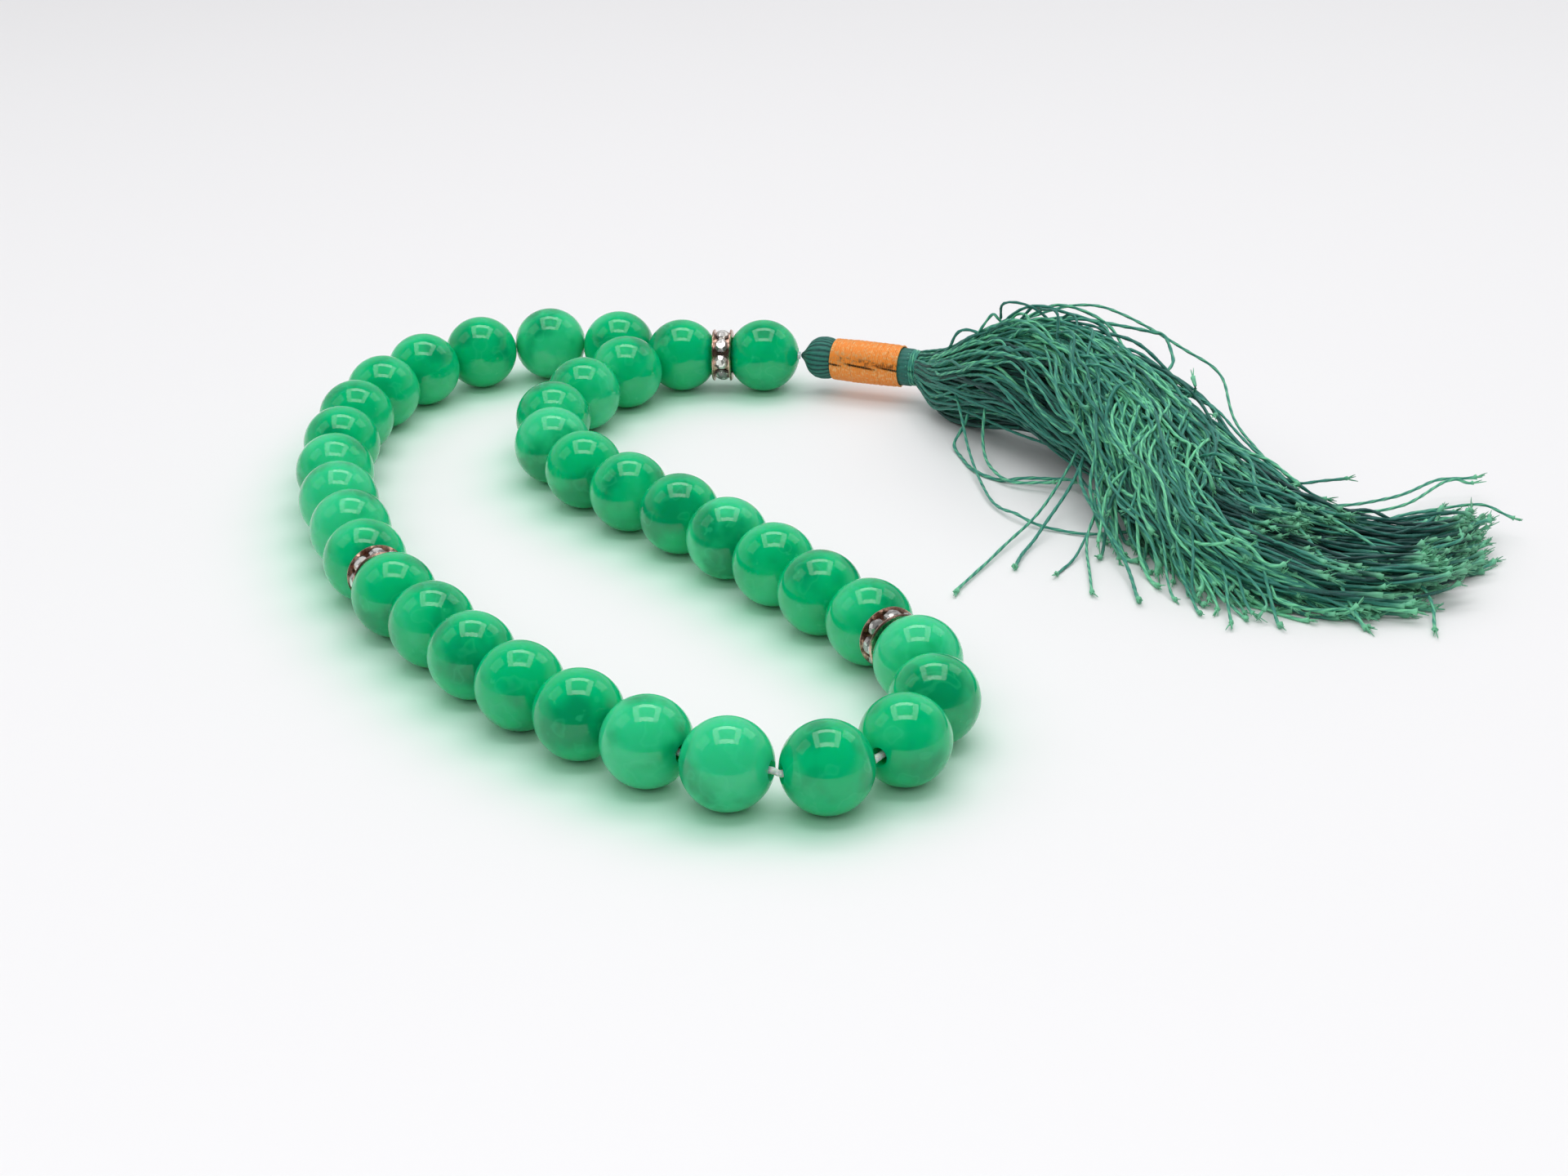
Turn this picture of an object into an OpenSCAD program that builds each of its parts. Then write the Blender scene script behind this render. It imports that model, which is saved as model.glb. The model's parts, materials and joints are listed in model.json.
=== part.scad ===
/* [Beads] */
// Diameter of every bead
bead_d = 10; // [9.9:0.02:10.02]
// Diameter of the drilled hole through a bead
hole_d = 1.9; // [1.8:0.05:2.2]
// Diameter of the string
string_d = 0.8; // [0.5:0.05:0.8]
// Space between two neighbouring beads
bead_gap = 0.12; // [0.1:0.01:0.12]

/* [Spacers] */
// Outer diameter of a spacer ring
spacer_d = 7.2; // [7:0.1:7.6]
// Thickness of a spacer ring
spacer_t = 2.7; // [2.7:0.05:2.8]
// Diameter of a spacer's middle hole
spacer_hole_d = 2.4; // [2.3:0.1:3]
// Number of stones set round a spacer
stones = 8; // [6:1:8]
// Width across one stone
stone_w = 2.1; // [1.8:0.1:2.1]

/* [Tassel] */
// Diameter of the folded bulb at the top of the tassel
bulb_d = 5.8; // [5:0.1:6.2]
// Greatest diameter of the metallic thread wrap
wrap_d = 6.2; // [5.8:0.1:6.4]
// Diameter of the collar below the wrap
collar_d = 5.2; // [4.8:0.1:5.6]

/* [Hidden] */
runs = 3;
run_beads = 11;
beads = runs * run_beads;
bead_r = bead_d / 2;
lie = bead_r;

// How far the middle of the outline lies from the route's own zero
centre_shift = [-0.35, 0.3];

// The loop as it lies, from the neck bead round and back to it
loop_route = [
    [-27, 61], [-35, 54], [-41, 44], [-44, 34], [-42, 23], [-34, 11], [-25, 0],
    [-16, -13], [-8, -26], [-2, -36], [2, -47], [1, -59], [-8, -68], [-20, -67],
    [-32, -58], [-44, -45], [-53, -31], [-61, -17], [-66, -2], [-70, 14],
    [-71, 29], [-69, 45], [-62, 59], [-50, 67], [-38, 66], [-27, 61]
];
curve_steps = 20;

// The neck: leader bead, and the point where the string's two ends part
leader_at = [-15.5, 60];
neck_at = loop_route[0];
fork_gap = 6.15;

// One bead stands a little apart, where the bare string shows
apart_after = 15;
apart_by = 0.2;

// Seats in a spacer that the neighbouring beads nest in
seat_r = 2.5;
seat_depth = 0.75;
spacer_step = 1.55;
channel_r = 2.75;
channel_w = stone_w + 0.1;
stone_h = 0.72;

function turn_to(a) = atan2(a[1], a[0]);
function unit(a) = a / norm(a);

// A smooth curve through four points, at t from 0 to 1 between the middle two
function bend_at(a, b, c, d, t) =
    0.5 * (2 * b + (c - a) * t + (2 * a - 5 * b + 4 * c - d) * t * t
        + (3 * b - a - 3 * c + d) * t * t * t);
function clamped(list, i) = list[max(0, min(len(list) - 1, i))];
function smooth(list, steps) = [
    for (i = [0 : len(list) - 2], k = [0 : steps - 1])
        bend_at(clamped(list, i - 1), list[i], list[i + 1], clamped(list, i + 2), k / steps),
    list[len(list) - 1]
];
curve = smooth(loop_route, curve_steps);

// Each bead is one step along the curve from the last one, measured straight
function reach(p, step, j) = j >= len(curve) || norm(curve[j] - p) >= step ? j : reach(p, step, j + 1);
function cut_at(p, step, a, b) =
    let (u = b - a, w = a - p, q = u * u, h = w * u / q)
    a + u * (sqrt(max(0, h * h - (w * w - step * step) / q)) - h);
function step_of(i) =
    bead_d + bead_gap + (i > 1 && (i - 1) % run_beads == 0 ? spacer_step : 0)
        + (i == apart_after + 1 ? apart_by : 0);
function march(p, j, i) =
    i > beads ? [] :
    let (k = reach(p, step_of(i), j), q = cut_at(p, step_of(i), curve[k - 1], curve[k]))
    concat([q], march(q, k, i + 1));
bead_at = march(curve[0], 1, 1);

// Where the two ends part: as far from the neck bead as from the first and last beads
fork_at = neck_at + fork_gap * unit(unit(bead_at[0] - neck_at) + unit(bead_at[beads - 1] - neck_at));
stops = concat([fork_at], bead_at, [fork_at]);
function bead_axis(i) = unit(unit(stops[i + 1] - stops[i]) + unit(stops[i] - stops[i - 1]));
leader_axis = unit(neck_at - leader_at);
neck_axis = leader_axis;

spacer_after = [0, run_beads, 2 * run_beads];
function spacer_ends(n) =
    n == 0 ? [leader_at, neck_at] : [stops[spacer_after[n]], stops[spacer_after[n] + 1]];
function spacer_centre(n) = (spacer_ends(n)[0] + spacer_ends(n)[1]) / 2;
function spacer_axis(n) = unit(spacer_ends(n)[1] - spacer_ends(n)[0]);

function two_digits(i) = i < 10 ? str("0", i) : str(i);
function bead_name(i) = str("bead_", two_digits(i));
function ring_name(n) = str("spacer_", n + 1, "_ring");
function stones_name(n) = str("spacer_", n + 1, "_stones");

bead_green = "seagreen";
cord_white = "whitesmoke";
rose_gold = "darksalmon";
clear_stone = "lightcyan";
thread_green = "darkslategray";
thread_gold = "goldenrod";

// Put something modelled along X at a point of the loop, turned to its axis
module lying(at, axis) {
    translate([at[0] + centre_shift[0], at[1] + centre_shift[1], lie])
        rotate([0, 0, turn_to(axis)]) children();
}

// A closed skin through rings of points, all with the same number of points
module skin(rings) {
    sides = len(rings[0]);
    last = len(rings) - 1;
    points = [for (ring = rings) each ring];
    walls = [
        for (i = [0 : last - 1], k = [0 : sides - 1])
            let (a = i * sides + k, b = i * sides + (k + 1) % sides)
            each [[a, a + sides, b + sides], [a, b + sides, b]]
    ];
    ends = [
        [for (k = [0 : sides - 1]) k],
        [for (k = [sides - 1 : -1 : 0]) last * sides + k]
    ];
    polyhedron(points, concat(walls, ends));
}

// Rings of an elliptical tube along a route: half width and half height at each point
function route_way(route, i) =
    unit(clamped(route, i + 1) - clamped(route, i - 1));
function oval_ring(at, way, half_w, half_h, sides) =
    let (side = unit(cross([0, 0, 1], way)), up = [0, 0, 1])
    [for (k = [0 : sides - 1]) at + half_w * cos(k * 360 / sides) * side + half_h * sin(k * 360 / sides) * up];
function tube_rings(route, half_w, half_h, sides) = [
    for (i = [0 : len(route) - 1])
        oval_ring(route[i], route_way(route, i), half_w[i], half_h[i], sides)
];

string_sides = 8;
// The mouth of a hole, a little inside the bead's surface
mouth = bead_r - 0.05;
end_side = 0.44;
tail_at = leader_at - (bead_r + 0.2) * leader_axis;

function lift_to(p) = [p[0] + centre_shift[0], p[1] + centre_shift[1], lie];
function beside(p, axis, side) = p + side * [-axis[1], axis[0]];
function neck_run(side) = [
    beside(tail_at, leader_axis, side),
    beside(leader_at - mouth * leader_axis, leader_axis, side),
    beside(leader_at + mouth * leader_axis, leader_axis, side),
    beside(neck_at - mouth * neck_axis, neck_axis, side),
    beside(neck_at + mouth * neck_axis, neck_axis, side)
];
function loop_run() = [
    for (i = [1 : beads]) each [bead_at[i - 1] - mouth * bead_axis(i), bead_at[i - 1] + mouth * bead_axis(i)]
];
function reversed(list) = [for (i = [len(list) - 1 : -1 : 0]) list[i]];
fork_side = 0.5;
string_route = [
    for (p = concat(
        neck_run(end_side), [beside(fork_at, neck_axis, fork_side)], loop_run(),
        [beside(fork_at, neck_axis, -fork_side)], reversed(neck_run(-end_side))))
    lift_to(p)
];

module string() {
    r = [for (p = string_route) string_d / 2];
    color(cord_white) skin(tube_rings(string_route, r, r, string_sides));
}

module drilled_bead(at, axis) {
    flare = 0.4;
    color(bead_green) lying(at, axis) rotate([0, 90, 0]) difference() {
        sphere(bead_r, $fn = 96);
        cylinder(h = 2 * bead_d, d = hole_d, center = true, $fn = 48);
        for (m = [0, 1]) mirror([0, 0, m]) translate([0, 0, bead_r - flare])
            cylinder(h = 2 * flare, r1 = hole_d / 2 - 0.1, r2 = hole_d / 2 - 0.1 + 2 * flare, $fn = 48);
    }
}

module bead(i) {
    drilled_bead(bead_at[i - 1], bead_axis(i));
}

module spacer_ring(n) {
    half = spacer_t / 2;
    rim = spacer_d / 2;
    web = half - seat_depth;
    color(rose_gold) lying(spacer_centre(n), spacer_axis(n)) rotate([0, 90, 0])
        rotate_extrude($fn = 72) polygon([
            [spacer_hole_d / 2, -web], [seat_r, -web], [seat_r, -half], [rim - 0.15, -half],
            [rim, 0.15 - half], [rim, -channel_w / 2], [channel_r, -channel_w / 2],
            [channel_r, channel_w / 2], [rim, channel_w / 2], [rim, half - 0.15],
            [rim - 0.15, half], [seat_r, half], [seat_r, web], [spacer_hole_d / 2, web]
        ]);
}

// One brilliant: a straight girdle with eight sides under a tapered crown
module brilliant() {
    girdle = 0.35;
    cylinder(h = girdle, d = stone_w, $fn = 8);
    translate([0, 0, girdle]) cylinder(h = stone_h - girdle, d1 = stone_w, d2 = stone_w * 0.6, $fn = 8);
}

module spacer_stones(n) {
    color(clear_stone) lying(spacer_centre(n), spacer_axis(n))
        for (k = [0 : stones - 1]) rotate([k * 360 / stones, 0, 0])
            translate([0, 0, channel_r + 0.02]) rotate([0, 0, 22.5]) brilliant();
}

// The tassel starts at a small knot just outside the leader bead's hole
knot_out = bead_r + 0.9;
knot_at = leader_at - knot_out * leader_axis;
knot_r = 0.6;
tassel_line = unit([16.6, -7]);
tassel_z = lie;
bulb_len = 4.4;
wrap_len = 10.2;
collar_len = 2.6;
core_r = 0.9;
core_clear = 0.05;
head_len = bulb_len + wrap_len + collar_len;

module along_tassel(from) {
    at = knot_at + from * tassel_line + centre_shift;
    translate([at[0], at[1], tassel_z]) rotate([0, 0, turn_to(tassel_line)]) rotate([0, 90, 0]) children();
}

module tassel_knot() {
    color(thread_green) along_tassel(0) sphere(knot_r, $fn = 32);
}

module tassel_core() {
    color(thread_green) along_tassel(knot_r + 0.1) cylinder(h = head_len - knot_r - 0.3, r = core_r, $fn = 32);
}

module thread_bulb() {
    bore = core_r + core_clear;
    color(thread_green) along_tassel(0) rotate_extrude($fn = 48) polygon([
        [bore, 0.3], [bulb_d * 0.2, 0.35], [bulb_d * 0.32, 1], [bulb_d * 0.46, 2], [bulb_d * 0.5, 3],
        [bulb_d * 0.45, bulb_len], [bore, bulb_len]
    ]);
}

// A wound sleeve round the core, fuller at its middle than at its ends
module sleeve(from, long, r_end, r_mid) {
    bore = core_r + core_clear;
    edge = 0.25;
    along_tassel(from) rotate_extrude($fn = 48) polygon([
        [bore, 0], [r_end - edge, 0], [r_end, edge], [(r_end + 2 * r_mid) / 3, long * 0.25],
        [r_mid, long * 0.5], [(r_end + 2 * r_mid) / 3, long * 0.75], [r_end, long - edge],
        [r_end - edge, long], [bore, long]
    ]);
}

module gold_wrap() {
    color(thread_gold) sleeve(bulb_len, wrap_len, wrap_d * 0.45, wrap_d / 2);
}

module thread_collar() {
    color(thread_green) sleeve(bulb_len + wrap_len, collar_len, collar_d * 0.48, collar_d / 2);
}

// The skirt lies in a long bow: [x, y, half width, half height], each resting on the ground
skirt_sides = 16;
collar_end = knot_at + head_len * tassel_line;
skirt_bow = [
    [10, 46, 3.5, 5], [14.5, 40.5, 5, 7], [20, 35, 7, 8.2], [26.5, 28.5, 8.5, 8],
    [32, 20, 9, 7], [36, 11, 9.5, 5.6], [40, 1.5, 10, 4.6], [44, -6, 10.5, 3.9],
    [50, -11.5, 10.5, 3.5], [58, -14, 10, 3.2], [65.5, -13, 9.5, 3], [72, -9, 9, 2.8]
];
// The ring where the skirt's upper and lower lengths meet
bow_split = 5;
// Both lengths taper towards the place where they bend
bend_gap = 0.4;
bend_taper = 4;
tip_w = 1.6;
root_gap = 0.9;
root_r = 0.6;

function floor_point(p) = [p[0] + centre_shift[0], p[1] + centre_shift[1], p[3]];
function between(a, b, long) = a + (b - a) * long / norm([b[0] - a[0], b[1] - a[1]]);
function slim(p, w, h) = [p[0], p[1], w, h];
upper_bow = concat(
    [[collar_end[0] + root_gap * tassel_line[0], collar_end[1] + root_gap * tassel_line[1], root_r, root_r]],
    [for (i = [0 : bow_split - 1]) skirt_bow[i]],
    [between(skirt_bow[bow_split], skirt_bow[bow_split - 1], bend_taper)],
    [slim(between(skirt_bow[bow_split], skirt_bow[bow_split - 1], bend_gap), tip_w, skirt_bow[bow_split][3] * 0.6)]
);
lower_bow = concat(
    [slim(between(skirt_bow[bow_split], skirt_bow[bow_split + 1], bend_gap), tip_w, skirt_bow[bow_split][3] * 0.6)],
    [between(skirt_bow[bow_split], skirt_bow[bow_split + 1], bend_taper)],
    [for (i = [bow_split + 1 : len(skirt_bow) - 1]) skirt_bow[i]]
);

module skirt_length(bow, first_z) {
    route = [
        for (i = [0 : len(bow) - 1])
            i == 0 && first_z > 0 ? [floor_point(bow[0])[0], floor_point(bow[0])[1], first_z] : floor_point(bow[i])
    ];
    color(thread_green)
        skin(tube_rings(route, [for (p = bow) p[2]], [for (p = bow) p[3]], skirt_sides));
}

module skirt_upper() {
    skirt_length(upper_bow, tassel_z);
}

module skirt_lower() {
    skirt_length(lower_bow, 0);
}

for (i = [1 : beads]) bead(i);
string();
drilled_bead(neck_at, neck_axis);  // neck_bead
drilled_bead(leader_at, leader_axis);  // leader_bead
for (n = [0 : 2]) spacer_ring(n);
for (n = [0 : 2]) spacer_stones(n);
tassel_knot();
tassel_core();
thread_bulb();
gold_wrap();
thread_collar();
skirt_upper();
skirt_lower();
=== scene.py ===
import json
import math

import bpy
import numpy as np
from mathutils import Matrix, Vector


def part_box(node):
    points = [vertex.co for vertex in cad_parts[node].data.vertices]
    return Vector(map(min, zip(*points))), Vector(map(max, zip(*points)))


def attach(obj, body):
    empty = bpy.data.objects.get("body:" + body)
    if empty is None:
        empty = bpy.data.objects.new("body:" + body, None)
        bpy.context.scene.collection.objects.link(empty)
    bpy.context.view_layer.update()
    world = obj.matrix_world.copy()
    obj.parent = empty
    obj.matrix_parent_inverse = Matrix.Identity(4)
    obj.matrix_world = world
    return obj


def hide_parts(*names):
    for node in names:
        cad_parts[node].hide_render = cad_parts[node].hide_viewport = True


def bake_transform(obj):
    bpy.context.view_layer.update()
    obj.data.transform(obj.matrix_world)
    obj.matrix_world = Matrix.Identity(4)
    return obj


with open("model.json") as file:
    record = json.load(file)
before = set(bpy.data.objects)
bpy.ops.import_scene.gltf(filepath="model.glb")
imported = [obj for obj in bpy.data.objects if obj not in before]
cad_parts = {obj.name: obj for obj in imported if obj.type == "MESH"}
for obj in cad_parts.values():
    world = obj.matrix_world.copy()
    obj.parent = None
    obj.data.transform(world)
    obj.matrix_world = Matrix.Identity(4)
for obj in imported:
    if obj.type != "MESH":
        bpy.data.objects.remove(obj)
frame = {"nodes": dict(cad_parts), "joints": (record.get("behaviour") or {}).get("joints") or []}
nodes = frame["nodes"]
joints = {joint["name"]: joint for joint in frame["joints"]}
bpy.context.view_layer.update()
print("frame loaded:", len(nodes), "nodes")

mm = 0.001

cameraLook = {
    "place": (-13.8, -344.7, 145.3),  # mm
    "pitch": 23.5,                    # degrees below level
    "roll": -1.4,
    "lens": 69.7,
    "sensor": 36.0,
}


def makeCamera():
    pitch, roll = math.radians(cameraLook["pitch"]), math.radians(cameraLook["roll"])
    forward = np.array([0, math.cos(pitch), -math.sin(pitch)])
    right = np.array([1.0, 0, 0])
    up = np.cross(right, forward)
    turnedRight = math.cos(roll) * right + math.sin(roll) * up
    turnedUp = -math.sin(roll) * right + math.cos(roll) * up
    data = bpy.data.cameras.new("camera")
    data.lens, data.sensor_width = cameraLook["lens"], cameraLook["sensor"]
    data.clip_start, data.clip_end = 0.01, 20
    camera = bpy.data.objects.new("camera", data)
    turn = Matrix(np.column_stack([turnedRight, turnedUp, -forward]).tolist())
    camera.matrix_world = Matrix.Translation([v * mm for v in cameraLook["place"]]) @ turn.to_4x4()
    bpy.context.scene.collection.objects.link(camera)
    bpy.context.scene.camera = camera
    return turnedRight, turnedUp, -forward


viewAxes = makeCamera()


class Channel:
    # a node's output that can be used in arithmetic, with numbers or other outputs
    def __init__(self, finish, socket):
        self.finish, self.socket = finish, socket

    def join(self, operation, first, second):
        return self.finish.node("ShaderNodeMath", {"operation": operation}, {0: first, 1: second})

    def __add__(self, other):
        return self.join("ADD", self, other)

    def __radd__(self, other):
        return self.join("ADD", other, self)

    def __sub__(self, other):
        return self.join("SUBTRACT", self, other)

    def __rsub__(self, other):
        return self.join("SUBTRACT", other, self)

    def __mul__(self, other):
        return self.join("MULTIPLY", self, other)

    def __rmul__(self, other):
        return self.join("MULTIPLY", other, self)


class NodeMaker:
    # the one way that nodes are made, in any node tree
    def __init__(self, tree, shader):
        self.tree, self.shader = tree, shader

    def set(self, socket, value):
        self.put(self.shader.inputs[socket], value)

    def put(self, socket, value):
        if isinstance(value, Channel):
            self.tree.links.new(value.socket, socket)
        elif isinstance(value, tuple) and len(value) == 3 and socket.type == "RGBA":
            socket.default_value = (*value, 1)
        else:
            socket.default_value = value

    def node(self, kind, settings=None, values=None, output=0):
        made = self.tree.nodes.new(kind)
        for key, value in (settings or {}).items():
            if key == "stops":
                self.setStops(made.color_ramp, value)
            else:
                setattr(made, key, value)
        for key, value in (values or {}).items():
            self.put(made.inputs[key], value)
        return Channel(self, made.outputs[output])

    def setStops(self, ramp, stops):
        while len(ramp.elements) < len(stops):
            ramp.elements.new(0.5)
        for element, (place, colour) in zip(ramp.elements, stops):
            element.position, element.color = place, (*colour, 1)

    def place(self):
        return self.node("ShaderNodeTexCoord", output="Object")

    def unwrapped(self):
        return self.node("ShaderNodeTexCoord", output="UV")

    def stored(self, name):
        return self.node("ShaderNodeAttribute", {"attribute_name": name}, output="Fac")

    def part(self, vector, axis):
        return self.node("ShaderNodeSeparateXYZ", None, {0: vector}, output=axis)

    def noise(self, vector, scale, detail=2.0, roughness=0.5):
        values = {"Vector": vector, "Scale": scale, "Detail": detail, "Roughness": roughness}
        return self.node("ShaderNodeTexNoise", None, values, output=0)

    def between(self, value, low, high):
        # 0 below low, 1 above high, smooth in between
        settings = {"interpolation_type": "SMOOTHSTEP"}
        return self.node("ShaderNodeMapRange", settings, {"Value": value, "From Min": low, "From Max": high})

    def mix(self, factor, first, second):
        return self.node("ShaderNodeMix", {"data_type": "RGBA"}, {0: factor, 6: first, 7: second}, output=2)

    def bump(self, height, strength, distance):
        values = {"Height": height, "Strength": strength, "Distance": distance}
        self.set("Normal", self.node("ShaderNodeBump", None, values))


class Finish(NodeMaker):
    # one material and its shader
    def __init__(self, name, **constants):
        self.material = bpy.data.materials.new(name)
        self.material.use_nodes = True
        tree = self.material.node_tree
        super().__init__(tree, tree.nodes["Principled BSDF"])
        for socket, value in constants.items():
            self.set(socket.replace("_", " "), value)


studio = {
    "skyStrength": 0.5,
    "skyColour": (0.97, 0.97, 1.0),
    "darkSide": (0.0, -0.5, 0.87),   # direction of the unlit part of the room
    "darkEdge": (0.1, 0.55),         # cosines between which the dark part begins
    "darkDepth": 0.93,
    "panelAim": (-0.02, 0, 0.005),   # m, the middle of the beads
    "panelDistance": 0.62,
    "windowHalf": 0.235,             # from the window's middle to the middle of each side
    "windowBorder": 0.135,
    "windowPower": 0.55,             # W for each of its four sides
    "innerPower": 0.15,
    "sidePower": 0.19,
    "fillPower": 0.75,               # from the camera's side, unseen in reflections
    "ceilingStrength": 1.26,         # even light from above, unseen in reflections
    "ceilingAngle": 2.2,             # radians that it spreads over
    "floorSize": 6.0,
    "floorColour": (0.875, 0.87, 0.882),
    # painted light: the colour, strength, spread and shift of the green glow painted on the floor round the
    # beads
    "paintedGlowColour": (0.36, 0.86, 0.62),
    "glowDepth": 0.62,
    "glowReach": 6.6,                # mm round a bead where its green light falls
    "glowShift": (-1.6, -2.2),       # mm from under the bead
}


def addPanel(name, way, size, power, up, offset=(0, 0, 0)):
    # a soft panel that faces the middle of the beads, or a point beside it, and isn't seen itself
    middle = np.array(studio["panelAim"]) + offset
    data = bpy.data.lights.new(name, "AREA")
    data.shape, data.size, data.size_y, data.energy = "RECTANGLE", size[0], size[1], power
    panel = bpy.data.objects.new(name, data)
    back = way / np.linalg.norm(way)
    side = np.cross(up, back)
    side /= np.linalg.norm(side)
    turn = Matrix(np.column_stack([side, np.cross(back, side), back]).tolist())
    place = middle + studio["panelDistance"] * back
    panel.matrix_world = Matrix.Translation(place.tolist()) @ turn.to_4x4()
    panel.visible_camera = False
    bpy.context.scene.collection.objects.link(panel)
    return panel


def makeWindow(right, up, back):
    # four strips round a dimmer middle, high up and a little towards the camera
    half, border = studio["windowHalf"], studio["windowBorder"]
    outer, inner = 2 * half + border, 2 * half - border
    way = 0.29 * back + 0.956 * up
    across = np.cross(way, right)
    for name, offset, size in (
        ("window_left", -half * right, (border, outer)),
        ("window_right", half * right, (border, outer)),
        ("window_near", half * across, (inner, border)),
        ("window_far", -half * across, (inner, border)),
    ):
        addPanel(name, way, size, studio["windowPower"], across, offset)
    addPanel("window_middle", way, (inner, inner), studio["innerPower"], across)


def makeCeiling():
    # a very broad sun straight overhead, so that the whole floor is evenly lit
    data = bpy.data.lights.new("ceiling", "SUN")
    data.energy, data.angle = studio["ceilingStrength"], studio["ceilingAngle"]
    overhead = bpy.data.objects.new("ceiling", data)
    overhead.visible_glossy = False
    bpy.context.scene.collection.objects.link(overhead)


def makeStudio():
    right, up, back = viewAxes
    makeWindow(right, up, back)
    power = studio["sidePower"]
    addPanel("left_soft", -0.75 * right + 0.625 * up + 0.22 * back, (0.3, 0.3), power, back)
    addPanel("right_soft", 0.6 * right + 0.79 * up - 0.13 * back, (0.22, 0.3), power, back)
    fill = addPanel("front_fill", 0.95 * back + 0.2 * up, (0.5, 0.4), studio["fillPower"], up)
    fill.visible_glossy = False
    makeCeiling()


def makeSky():
    # a pale room whose upper front part is unlit, so the polished stones stay dark round the window's outline
    world = bpy.data.worlds.new("studio")
    bpy.context.scene.world = world
    world.use_nodes = True
    sky = NodeMaker(world.node_tree, world.node_tree.nodes["Background"])
    sides = {0: sky.place(), 1: studio["darkSide"]}
    facing = sky.node("ShaderNodeVectorMath", {"operation": "DOT_PRODUCT"}, sides, "Value")
    dark = studio["darkDepth"] * sky.between(facing, *studio["darkEdge"])
    sky.set("Color", studio["skyColour"])
    sky.set("Strength", studio["skyStrength"] * (1.0 - dark))


makeStudio()
makeSky()
bpy.context.scene.view_settings.view_transform = "Standard"
print("camera and lights made")


stoneLook = {
    "deep": (0.0, 0.33, 0.133),
    "body": (0.0, 0.51, 0.205),
    "milky": (0.04, 0.62, 0.3),
    "cloudSize": 150.0,      # noise cells a metre
    "fleckSize": 620.0,
    "glowDepth": 0.0035,     # m that light travels inside
    "kinds": {"deep": (0.62, 0.95), "even": (0.5, 0.72), "milky": (0.34, 0.56)},
    "deepBeads": {5, 7, 15, 18, 19, 22, 31},
    "milkyBeads": {4, 8, 12, 16, 17, 24, 25, 32},
}


def stoneFinish(name, low, high):
    # cloudy dyed stone: pale clouds, thin veins and faint flecks under a glassy polish
    look = stoneLook
    stone = Finish(name, Subsurface_Weight=1.0, Subsurface_Scale=look["glowDepth"], IOR=1.5)
    stone.set("Subsurface Radius", (0.12, 1.0, 0.45))
    place = stone.place()
    clouds = stone.noise(place, look["cloudSize"], 3.0, 0.45)
    veins = stone.noise(place, look["cloudSize"] * 2.2, 2.0, 0.4)
    flecks = stone.noise(place, look["fleckSize"], 2.0, 0.6)
    milk = stone.between(clouds, low, high)
    vein = stone.between(veins, 0.56, 0.6) * (1.0 - stone.between(veins, 0.6, 0.66))
    shade = stone.mix(stone.between(clouds, 0.32, 0.52), look["deep"], look["body"])
    shade = stone.mix(milk * 0.8 + vein * 0.2, shade, look["milky"])
    shade = stone.mix(stone.between(flecks, 0.66, 0.74) * 0.35, shade, look["milky"])
    stone.set("Base Color", shade)
    stone.set("Roughness", 0.04 + 0.05 * stone.between(flecks, 0.45, 0.75))
    stone.bump(clouds, 0.04, 0.0002)
    return stone.material


cordLook = {"light": (0.86, 0.9, 0.88), "shade": (0.55, 0.66, 0.62), "fibre": 2600.0}


def cordFinish():
    cord = Finish("clear_cord", Subsurface_Weight=0.6, Subsurface_Scale=0.0006)
    fibre = cord.noise(cord.place(), cordLook["fibre"], 3.0)
    cord.set("Base Color", cord.mix(cord.between(fibre, 0.35, 0.65), cordLook["shade"], cordLook["light"]))
    cord.set("Roughness", 0.3 + 0.2 * fibre)
    cord.bump(fibre, 0.3, 0.0001)
    return cord.material


roseLook = {"bright": (0.8, 0.52, 0.42), "dull": (0.3, 0.17, 0.12), "grain": 1500.0}


def roseFinish():
    # plated rings with darker worn specks
    rose = Finish("rose_metal", Metallic=1.0)
    grain = rose.noise(rose.place(), roseLook["grain"], 4.0, 0.6)
    rose.set("Base Color", rose.mix(rose.between(grain, 0.45, 0.68), roseLook["bright"], roseLook["dull"]))
    rose.set("Roughness", 0.16 + 0.25 * grain)
    rose.bump(grain, 0.15, 0.0001)
    return rose.material


# the smoky and pale colours are painted dark and bright facet reflections, and also the stones' own grey and
# pale tones
gemLook = {"pale": (0.98, 0.95, 0.9), "smokeAndShade": (0.2, 0.19, 0.18), "facet": 1700.0, "cell": 420.0}


def gemFinish():
    # foiled clear stones: each facet cell is painted bright or smoky as painted reflection, and each stone's
    # share of both is its own pale or grey tone
    gem = Finish("clear_stone", IOR=1.6, Coat_Roughness=0.03)
    place = gem.place()
    cells = gem.node("ShaderNodeTexVoronoi", None, {"Vector": place, "Scale": gemLook["facet"]}, "Color")
    facets = gem.part(cells, 0)
    whole = gem.noise(place, gemLook["cell"], 1.0)
    clear = gem.between(facets + 1.2 * (whole - 0.5), 0.3, 0.95)
    gem.set("Base Color", gem.mix(clear, gemLook["smokeAndShade"], gemLook["pale"]))
    gem.set("Metallic", 0.25 + 0.5 * facets)
    gem.set("Roughness", 0.04 + 0.1 * whole)
    gem.set("Coat Weight", 0.8 + 0.2 * whole)
    return gem.material


# shadow and lit are painted shade and painted light; body and tip are the thread's own colours
threadLook = {
    "shadow": (0.012, 0.062, 0.06),
    "body": (0.036, 0.26, 0.2),
    "lit": (0.2, 0.74, 0.4),
    "tip": (0.22, 0.7, 0.4),
}


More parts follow.
